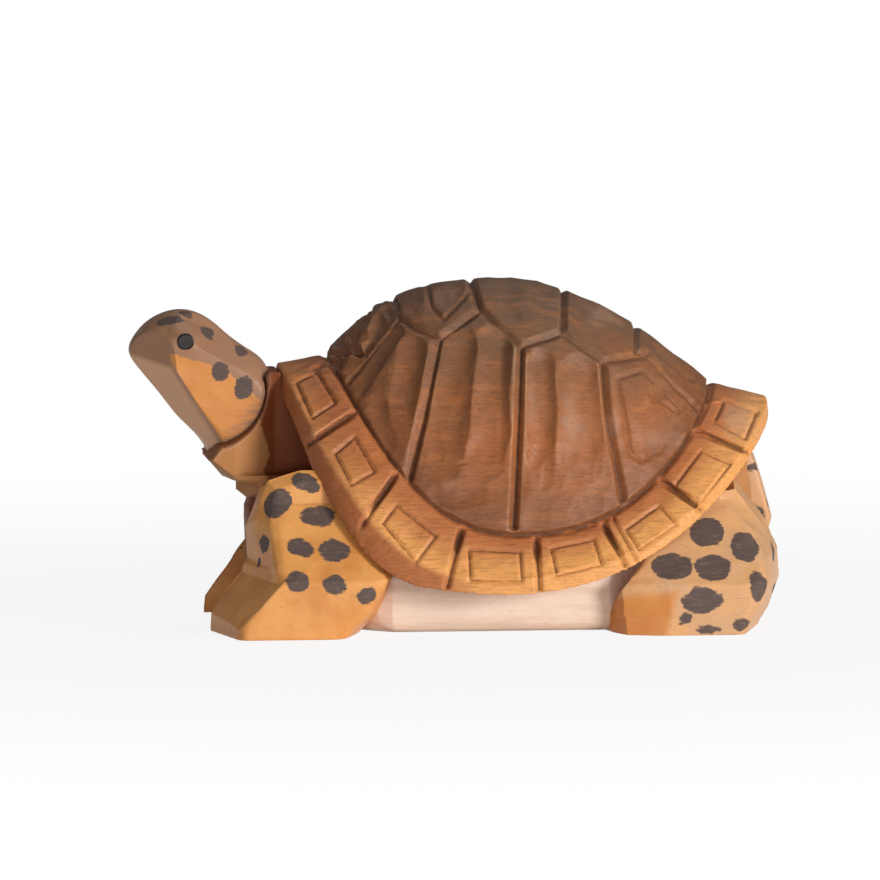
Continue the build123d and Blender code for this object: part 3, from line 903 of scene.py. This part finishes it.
def useRelief(tree):
    hollow, ridge = stored(tree, "hollow"), stored(tree, "ridge")
    return useGroup(tree, reliefGroup, Hollow=hollow, Ridge=ridge, Break=0.5)


def glaze(tree, base, share, strength, tint):
    # a coat of another colour over the base, strongest where share is 1
    return blend(tree, combine(tree, "MULTIPLY", share, strength), base, tint)


def newMaterial(name):
    material = bpy.data.materials.new(name)
    material.use_nodes = True
    tree = material.node_tree
    return material, tree, tree.nodes["Principled BSDF"]


bumpHeight = 0.15 * mm


def finishWood(tree, shader, base, rough, height, finish):
    # the parts that every wood finish here shares
    sockets = {"Height": height, "Strength": finish["bump"], "Distance": bumpHeight}
    bump = makeNode(tree, "ShaderNodeBump", sockets)
    setSockets(tree, shader, {
        "Base Color": base, "Roughness": rough, "Normal": bump.outputs[0],
        "Specular IOR Level": finish["gloss"],
        "Coat Weight": finish["varnish"], "Coat Roughness": finish["varnishRough"],
    })


shellFinish = {
    # painted shade: the first colour below, for the dome's top
    "domeHigh": colour(118, 86, 62), "domeLow": colour(164, 98, 54), "domeStreak": colour(186, 114, 62),
    # painted shade: the dome's front colour below, which also darkens the dome towards its foot, and the rim's
    # front colour after it
    "domeFront": colour(122, 76, 46), "rimInner": colour(184, 110, 62), "rimOuter": colour(232, 162, 92),
    "rimFront": colour(160, 94, 54), "stain": colour(56, 31, 16), "rub": colour(206, 164, 124),
    # rubbed wear and painted sheen: the pale patch colour below
    "worn": colour(198, 158, 132),
    "bump": 0.4, "gloss": 0.35, "varnish": 0.05, "varnishRough": 0.4,
}


def shellWood(finish):
    material, tree, shader = newMaterial("shellWood")
    grain = useGroup(tree, grainGroup, Size=1.0)
    relief = useRelief(tree)
    # painted shade: the dome's colour darkens towards its top
    high = combine(tree, "ADD", stored(tree, "high"), combine(tree, "MULTIPLY", grain["Blotch"], 0.5))
    dome = blend(tree, between(tree, high, 0.55, 1.15), finish["domeLow"], finish["domeHigh"])
    # painted shade: the dome darker towards its front; the same colour darkens it towards its foot
    front = stored(tree, "front")
    dark = combine(tree, "MAXIMUM", front, stored(tree, "foot"))
    dome = glaze(tree, dome, dark, 0.8, finish["domeFront"])
    dome = blend(tree, between(tree, grain["Figure"], 0.45, 0.8, 0.0, 0.5), dome, finish["domeStreak"])
    rimShare = stored(tree, "rimShare")
    edge = combine(tree, "ADD", rimShare, combine(tree, "MULTIPLY", grain["Blotch"], 0.3))
    rim = blend(tree, between(tree, edge, 0.5, 1.1), finish["rimInner"], finish["rimOuter"])
    # painted shade: the rim darker towards its front
    rim = blend(tree, between(tree, front, 0.8, 1.0, 0.0, 0.6), rim, finish["rimFront"])
    base = blend(tree, between(tree, rimShare, 0.05, 0.25), dome, rim)
    patchy = combine(tree, "SUBTRACT", combine(tree, "ADD", grain["Fibre"], grain["Blotch"]), 1.0)
    # pale patches of rubbed wear and painted sheen
    worn = combine(tree, "ADD", stored(tree, "worn"), combine(tree, "MULTIPLY", patchy, 1.6))
    base = blend(tree, between(tree, worn, 0.3, 1.3, 0.0, 0.55), base, finish["worn"])
    base = blend(tree, between(tree, grain["Fibre"], 0.4, 0.8, 0.0, 0.4), base, finish["stain"])
    base = glaze(tree, base, grain["Pores"], 0.35, finish["stain"])
    # stain and painted shade in the hollows
    base = glaze(tree, base, relief["Stain"], 0.75, finish["stain"])
    base = glaze(tree, base, relief["Rub"], 0.35, finish["rub"])
    rough = between(tree, grain["Blotch"], 0.3, 0.7, 0.46, 0.64)
    height = combine(tree, "SUBTRACT", grain["Fibre"], grain["Pores"])
    finishWood(tree, shader, base, rough, height, finish)
    return material


skinFinish = {
    "light": colour(230, 164, 92), "deep": colour(210, 138, 70), "stain": colour(92, 52, 24),
    "rub": colour(240, 200, 142), "paint": colour(88, 72, 67), "paintThin": colour(126, 102, 86),
    # partly painted sheen: the wash colour below; painted sheen: the throat colour after it
    "wash": colour(146, 110, 90), "throat": colour(216, 168, 136), "cheek": colour(202, 126, 60),
    # partly the wood's own paler tone, partly painted sheen
    "fade": colour(204, 166, 130),
    "bump": 0.3, "gloss": 0.35, "varnish": 0.08, "varnishRough": 0.4,
}


def skinWood(finish):
    material, tree, shader = newMaterial("skinWood")
    grain = useGroup(tree, grainGroup, Size=1.0)
    relief = useRelief(tree)
    dab = useGroup(tree, dabGroup, Gap=stored(tree, "dab"))
    base = blend(tree, between(tree, grain["Blotch"], 0.35, 0.7), finish["light"], finish["deep"])
    base = glaze(tree, base, grain["Fibre"], 0.3, finish["deep"])
    base = glaze(tree, base, stored(tree, "cheek"), 0.6, finish["cheek"])
    patchy = between(tree, grain["Blotch"], 0.3, 0.7, 0.4, 0.75)
    # paler, greyer tone: partly own colour, partly painted sheen
    base = glaze(tree, base, stored(tree, "fade"), patchy, finish["fade"])
    # grey wash over the head: partly its own tone, partly painted sheen
    wash = blend(tree, stored(tree, "throat"), finish["wash"], finish["throat"])
    washed = combine(tree, "ADD", stored(tree, "wash"), combine(tree, "SUBTRACT", grain["Fibre"], 0.5))
    base = blend(tree, between(tree, washed, 0.3, 0.8, 0.0, 0.85), base, wash)
    base = glaze(tree, base, grain["Pores"], 0.3, finish["stain"])
    # stain and painted shade in the hollows
    base = glaze(tree, base, relief["Stain"], 0.6, finish["stain"])
    base = glaze(tree, base, relief["Rub"], 0.4, finish["rub"])
    paint = glaze(tree, finish["paint"], dab["Thin"], 0.5, finish["paintThin"])
    base = blend(tree, dab["Paint"], base, paint)
    rough = between(tree, dab["Paint"], 0, 1, 0.45, 0.7)
    height = combine(tree, "ADD", grain["Fibre"], combine(tree, "MULTIPLY", dab["Paint"], 0.5))
    finishWood(tree, shader, base, rough, height, finish)
    return material


paleFinish = {
    "light": colour(236, 215, 199), "deep": colour(222, 194, 174), "stain": colour(150, 110, 84),
    # painted shade: the hollow colour at the end of the line below, deep brown for the hollow behind the
    # collar
    "rub": colour(244, 234, 224), "skin": colour(182, 126, 78), "hollow": colour(124, 63, 31),
    "bump": 0.3, "gloss": 0.2, "varnish": 0.0, "varnishRough": 0.5,
}


def paleWood(finish):
    material, tree, shader = newMaterial("paleWood")
    grain = useGroup(tree, grainGroup, Size=1.2)
    relief = useRelief(tree)
    base = blend(tree, between(tree, grain["Figure"], 0.35, 0.7), finish["light"], finish["deep"])
    base = glaze(tree, base, grain["Fibre"], 0.3, finish["deep"])
    stained = combine(tree, "ADD", stored(tree, "stained"), combine(tree, "SUBTRACT", grain["Blotch"], 0.5))
    chest = between(tree, stained, 0.4, 0.6)
    base = blend(tree, chest, base, finish["skin"])
    # painted shade: deep brown in the hollow behind the collar
    deep = combine(tree, "ADD", stored(tree, "deep"), combine(tree, "SUBTRACT", grain["Fibre"], 0.5))
    base = blend(tree, between(tree, deep, 0.3, 0.7), base, finish["hollow"])
    base = glaze(tree, base, grain["Pores"], 0.25, finish["stain"])
    stain = blend(tree, chest, finish["stain"], finish["hollow"])
    # stain and painted shade in the hollows
    base = glaze(tree, base, relief["Stain"], 0.6, stain)
    rub = combine(tree, "MULTIPLY", relief["Rub"], between(tree, stained, 0.4, 0.6, 0.3, 0.05))
    base = blend(tree, rub, base, finish["rub"])
    rough = between(tree, grain["Blotch"], 0.3, 0.7, 0.55, 0.72)
    finishWood(tree, shader, base, rough, grain["Fibre"], finish)
    return material


eyeFinish = {"black": colour(26, 19, 17), "scuff": colour(58, 46, 40), "gloss": 0.3}


def eyeLacquer(finish):
    material, tree, shader = newMaterial("eyeLacquer")
    grain = useGroup(tree, grainGroup, Size=0.4)
    base = blend(tree, between(tree, grain["Blotch"], 0.5, 0.8), finish["black"], finish["scuff"])
    rough = between(tree, grain["Blotch"], 0.3, 0.7, 0.34, 0.5)
    gloss = finish["gloss"]
    setSockets(tree, shader, {"Base Color": base, "Roughness": rough, "Specular IOR Level": gloss})
    return material


dowelFinish = {
    "light": colour(222, 190, 148), "deep": colour(196, 158, 112),
    "bump": 0.3, "gloss": 0.4, "varnish": 0.0, "varnishRough": 0.5,
}


def dowelWood(finish):
    material, tree, shader = newMaterial("dowelWood")
    grain = useGroup(tree, grainGroup, Size=0.7)
    base = blend(tree, between(tree, grain["Fibre"], 0.35, 0.7), finish["light"], finish["deep"])
    rough = between(tree, grain["Blotch"], 0.3, 0.7, 0.6, 0.75)
    finishWood(tree, shader, base, rough, grain["Fibre"], finish)
    return material


shellPiece, headPiece, bellyPiece = makeShell(), makeHead(), makeBelly()
legPieces = [makeLeg(side + "FrontLeg", side + "_front_leg", frontLeg) for side in ("left", "right")]
legPieces += [makeLeg(side + "RearLeg", side + "_rear_leg", rearLeg) for side in ("left", "right")]
tailPiece = makeLeg("rump", "tail", tail)

skin = skinWood(skinFinish)
dressed = [(shellPiece, shellWood(shellFinish), "shell_wood"), (bellyPiece, paleWood(paleFinish), "pale_wood")]
dressed += [(piece, skin, "skin_wood") for piece in (headPiece, tailPiece, *legPieces)]
for piece, material, slot in dressed:
    piece.data.materials.append(material)
    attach(piece, "root")
nodeFinish = {"eye": eyeLacquer(eyeFinish), "dowel": dowelWood(dowelFinish)}
for name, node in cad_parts.items():
    for word, material in nodeFinish.items():
        if word in name:
            node.data.materials.clear()
            node.data.materials.append(material)
print("finishes set")


# Floor, light and camera

studio = {
    "floorHalf": 6.0,            # m
    "floorColour": colour(246, 245, 243),
    "floorGlow": (0.88, 1.0),    # share of the floor's white that needs no lamp, near and far
    "glowReach": (0.05, 0.22),   # m from the middle
    "skyLight": 0.2,
    # place in m, width and height in m, watts, colour
    "lamps": [
        ("keyLamp", (0.54, -0.60, 0.15), 0.22, 0.22, 5.2, (1.0, 0.97, 0.93)),
        ("lowLamp", (-0.10, -0.75, 0.045), 0.50, 0.06, 1.2, (1.0, 0.98, 0.95)),
        ("topLamp", (0.10, 0.25, 0.75), 0.40, 0.40, 0.7, (0.94, 0.97, 1.0)),
    ],
}


def makeFloor():
    half = studio["floorHalf"]
    mesh = bpy.data.meshes.new("floor")
    corners = [(-half, -half, 0), (half, -half, 0), (half, half, 0), (-half, half, 0)]
    mesh.from_pydata(corners, [], [(0, 1, 2, 3)])
    floor = bpy.data.objects.new("floor", mesh)
    scene.collection.objects.link(floor)
    material, tree, shader = newMaterial("floorPaper")
    setSockets(tree, shader, {"Base Color": studio["floorColour"], "Roughness": 0.9})
    path = makeNode(tree, "ShaderNodeLightPath").outputs
    seen = combine(tree, "MAXIMUM", path["Is Camera Ray"], path["Is Glossy Ray"])
    place = ownPlace(tree)
    away = makeNode(tree, "ShaderNodeVectorMath", {0: place}, operation="LENGTH").outputs["Value"]
    glow = makeNode(tree, "ShaderNodeEmission", {"Color": (1, 1, 1, 1), "Strength": 1.0})
    share = combine(tree, "MULTIPLY", seen, between(tree, away, *studio["glowReach"], *studio["floorGlow"]))
    both = makeNode(tree, "ShaderNodeMixShader", {0: share, 1: shader.outputs[0], 2: glow.outputs[0]})
    tree.links.new(both.outputs[0], tree.nodes["Material Output"].inputs["Surface"])
    mesh.materials.append(material)


def makeLights():
    world = bpy.data.worlds.new("sky")
    scene.world = world
    world.use_nodes = True
    sky = {"Color": (1, 1, 1, 1), "Strength": studio["skyLight"]}
    setSockets(world.node_tree, world.node_tree.nodes["Background"], sky)
    aim = Vector((0, 0, 0.02))
    for name, place, wide, high, watts, tint in studio["lamps"]:
        lamp = bpy.data.lights.new(name, "AREA")
        lamp.shape = "RECTANGLE"
        lamp.size, lamp.size_y, lamp.energy, lamp.color = wide, high, watts, tint
        lampObject = bpy.data.objects.new(name, lamp)
        scene.collection.objects.link(lampObject)
        lampObject.location = place
        lampObject.rotation_euler = (aim - Vector(place)).to_track_quat("-Z", "Y").to_euler()


def makeCamera():
    camera = bpy.data.objects.new("camera", bpy.data.cameras.new("camera"))
    scene.collection.objects.link(camera)
    view = photo["size"] / photo["pixelsPerMm"]
    camera.data.lens = camera.data.sensor_width * photo["distance"] / view
    camera.data.clip_end = 20.0
    target = photo["middle"][0] * lookRight + photo["middle"][1] * lookUp
    camera.location = Vector((target + lookBack * photo["distance"]) * mm)
    camera.rotation_euler = Vector(-lookBack).to_track_quat("-Z", "Y").to_euler()
    scene.camera = camera


makeFloor()
makeLights()
makeCamera()
scene.view_settings.view_transform = "Standard"
print("studio set")
